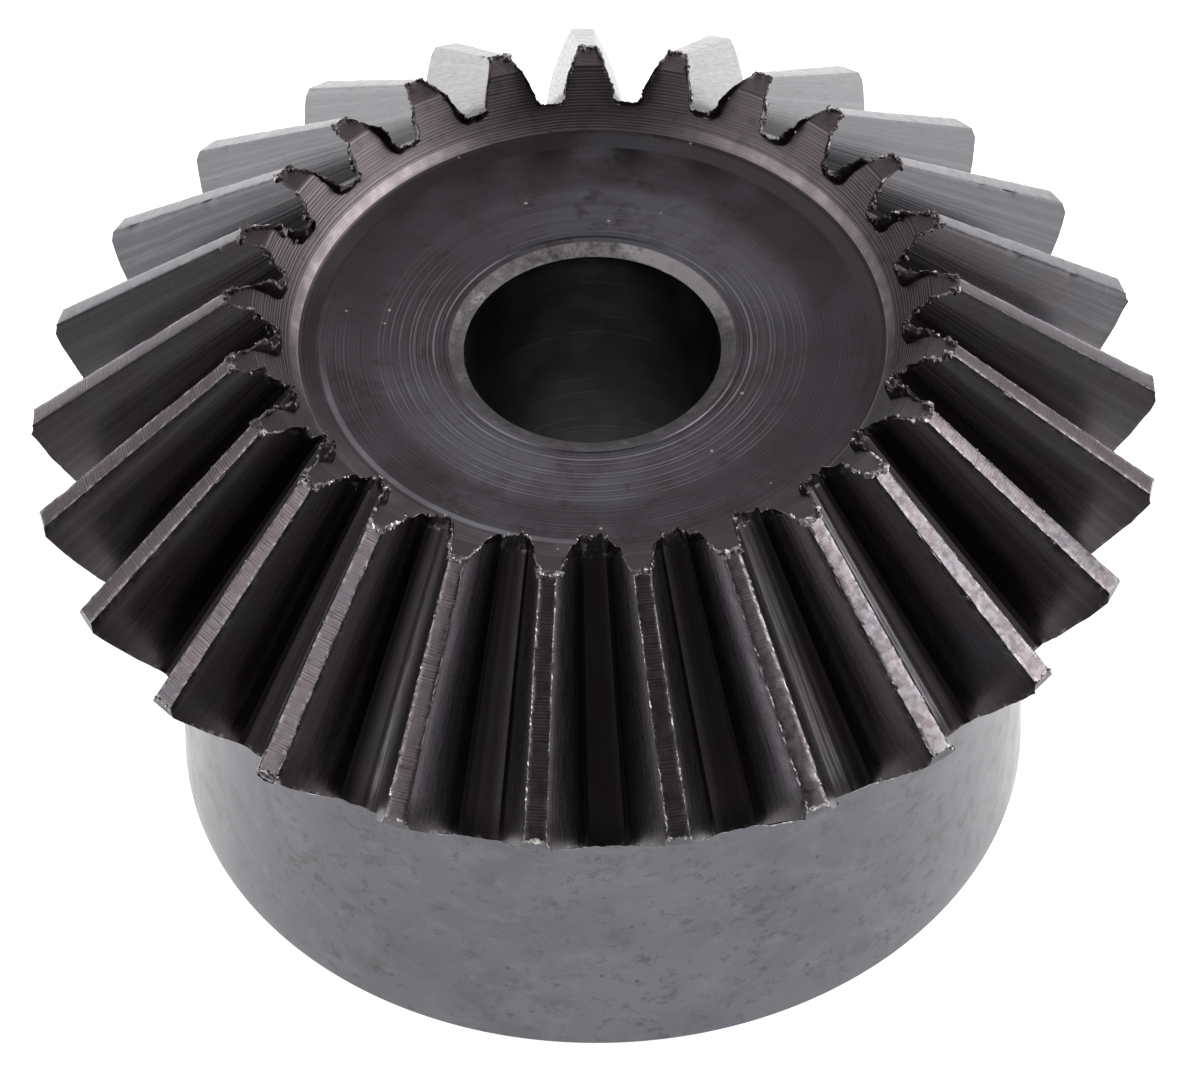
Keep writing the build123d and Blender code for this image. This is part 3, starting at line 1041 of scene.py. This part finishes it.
# ---- Studio ----
def ground(name, outline, height, albedo, edge, glow, behind_glow):
    """A flat card on the ground; its glow changes between the radii of `edge`, and behind the gear."""
    made = new_mesh(name, [(x, y, 0) for x, y in outline], [tuple(range(len(outline)))])
    made.location.z = height
    f = Finish(name)
    put(f.shader["Metallic"], 0.0)
    put(f.shader["Specular IOR Level"], 0.0)
    put(f.shader["Emission Color"], (1.0, 1.0, 1.0))
    put(f.shader["Emission Strength"], f.radius.ramp(*edge, *glow) + f.y.fade(0.0, 35.0, behind_glow))
    f.colour = (albedo, albedo, albedo)
    made.data.materials.append(f.finish(0.9))
    return made


def studio_floor():
    square = [(-2, -2), (2, -2), (2, 2), (-2, 2)]
    bore_edge = (BORE_RADIUS + 0.5, BORE_RADIUS + 1.5)
    ground("white_floor", square, -0.00002, 0.8, bore_edge, glow=(1.2, 0.95), behind_glow=0.35)


def black_flag():
    """A dark card that the camera doesn't see, round the front of the gear; it darkens the near flanks."""
    arc = np.radians(np.linspace(-250, -96, 30))
    outline = [(0.045 * math.sin(t), 0.045 * math.cos(t)) for t in arc]
    outline += [(1.9 * math.sin(t), 1.9 * math.cos(t)) for t in arc[::-1]]
    card = ground("black_flag", outline, 0.0005, 0.25, (45.0, 85.0), glow=(0.62, 0.2), behind_glow=0.0)
    card.visible_camera = False
    card.visible_shadow = False


def direction(azimuth, elevation):
    """Away from the gear; degrees, the azimuth clockwise from behind the gear."""
    azimuth, elevation = math.radians(azimuth), math.radians(elevation)
    level = math.cos(elevation)
    return Vector((math.sin(azimuth) * level, math.cos(azimuth) * level, math.sin(elevation)))


AIM = Vector((0.0001, 0.0, 0.0133))  # where the camera and the lights point


def softbox(name, azimuth, elevation, distance, width, height, radiance):
    """An area light aimed at the gear."""
    away = direction(azimuth, elevation)
    data = bpy.data.lights.new(name, "AREA")
    data.shape = "RECTANGLE"
    data.size = width
    data.size_y = height
    data.energy = radiance * math.pi * width * height
    light = new_object(name, data)
    light.location = AIM + away * distance
    light.rotation_euler = away.to_track_quat("Z", "Y").to_euler()


def studio_world():
    """Dim above and towards the camera, bright low behind the gear; plain white to the camera itself."""
    world = bpy.data.worlds.new("studio")
    scene.world = world
    world.use_nodes = True
    x, y, z = add_node(world.node_tree, "TexCoord", "Generated").split()
    ahead = y * 0.97 + x * 0.17
    low = ahead.ramp(0.78, 0.98, 0.08, 1.0) * z.ramp(0.1, 0.5, 2.0, 0.0)
    middle = z.ramp(0.45, 1.0, 0.72, 0.15) * abs(x).ramp(0.12, 0.5, 1.0, 0.4)
    glow = y.ramp(-0.25, 0.45) * (low + middle)
    above = z.fade(0.82, 0.97, 0.2)
    seen = add_node(world.node_tree, "LightPath", "Is Camera Ray")
    background = world.node_tree.nodes["Background"].inputs
    put(background["Strength"], (glow + above + 0.055).larger(seen))
    put(background["Color"], (1.0, 1.0, 1.0))


def photo_camera():
    """A long lens looking down on the gear from the front."""
    back = direction(azimuth=179.75, elevation=46.8)
    level = Vector((0, 0, 1)).cross(back).normalized()
    roll = math.radians(-1.61)
    right = math.cos(roll) * level + math.sin(roll) * back.cross(level)
    data = bpy.data.cameras.new("camera")
    data.lens = 475.0
    data.clip_start = 0.05
    data.clip_end = 10.0
    camera = new_object("camera", data)
    placed = Matrix((right, back.cross(right), back)).transposed().to_4x4()
    placed.translation = AIM + back * 0.749
    camera.matrix_world = placed
    scene.camera = camera


photo_camera()
studio_floor()
black_flag()
studio_world()
softbox("right_softbox", azimuth=91, elevation=36, distance=0.7, width=0.72, height=0.36, radiance=2.7)
softbox("left_softbox", azimuth=-106, elevation=37, distance=0.7, width=0.66, height=0.38, radiance=1.25)
scene.view_settings.view_transform = "Standard"
